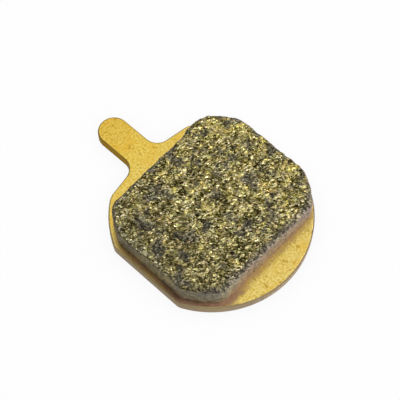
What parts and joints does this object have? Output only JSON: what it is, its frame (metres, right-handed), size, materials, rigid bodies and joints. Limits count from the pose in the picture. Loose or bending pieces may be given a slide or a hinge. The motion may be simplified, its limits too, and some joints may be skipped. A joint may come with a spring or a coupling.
{
  "type": "bicycle disc brake pad",
  "caption": "Small round disc brake pad: a gold-coloured steel backing plate with side flats and a pull tab, carrying a sintered metal friction block.",
  "frame": {"origin": "centre of the round backing plate, on its back face", "axes": "+Z from the back face to the friction face, +Y from the centre to the tip of the pull tab, X across the two side flats"},
  "size_m": [0.0228, 0.0312, 0.0041],
  "materials": {
    "backing_plate": "gold-coloured coating on sheet steel, fine-grained satin",
    "friction_block": "coarse sintered metal grains, matt with small glints"
  },
  "bodies": {
    "root": {"backing_plate": "backing_plate", "friction_block": "friction_block"}
  },
  "joints": []
}
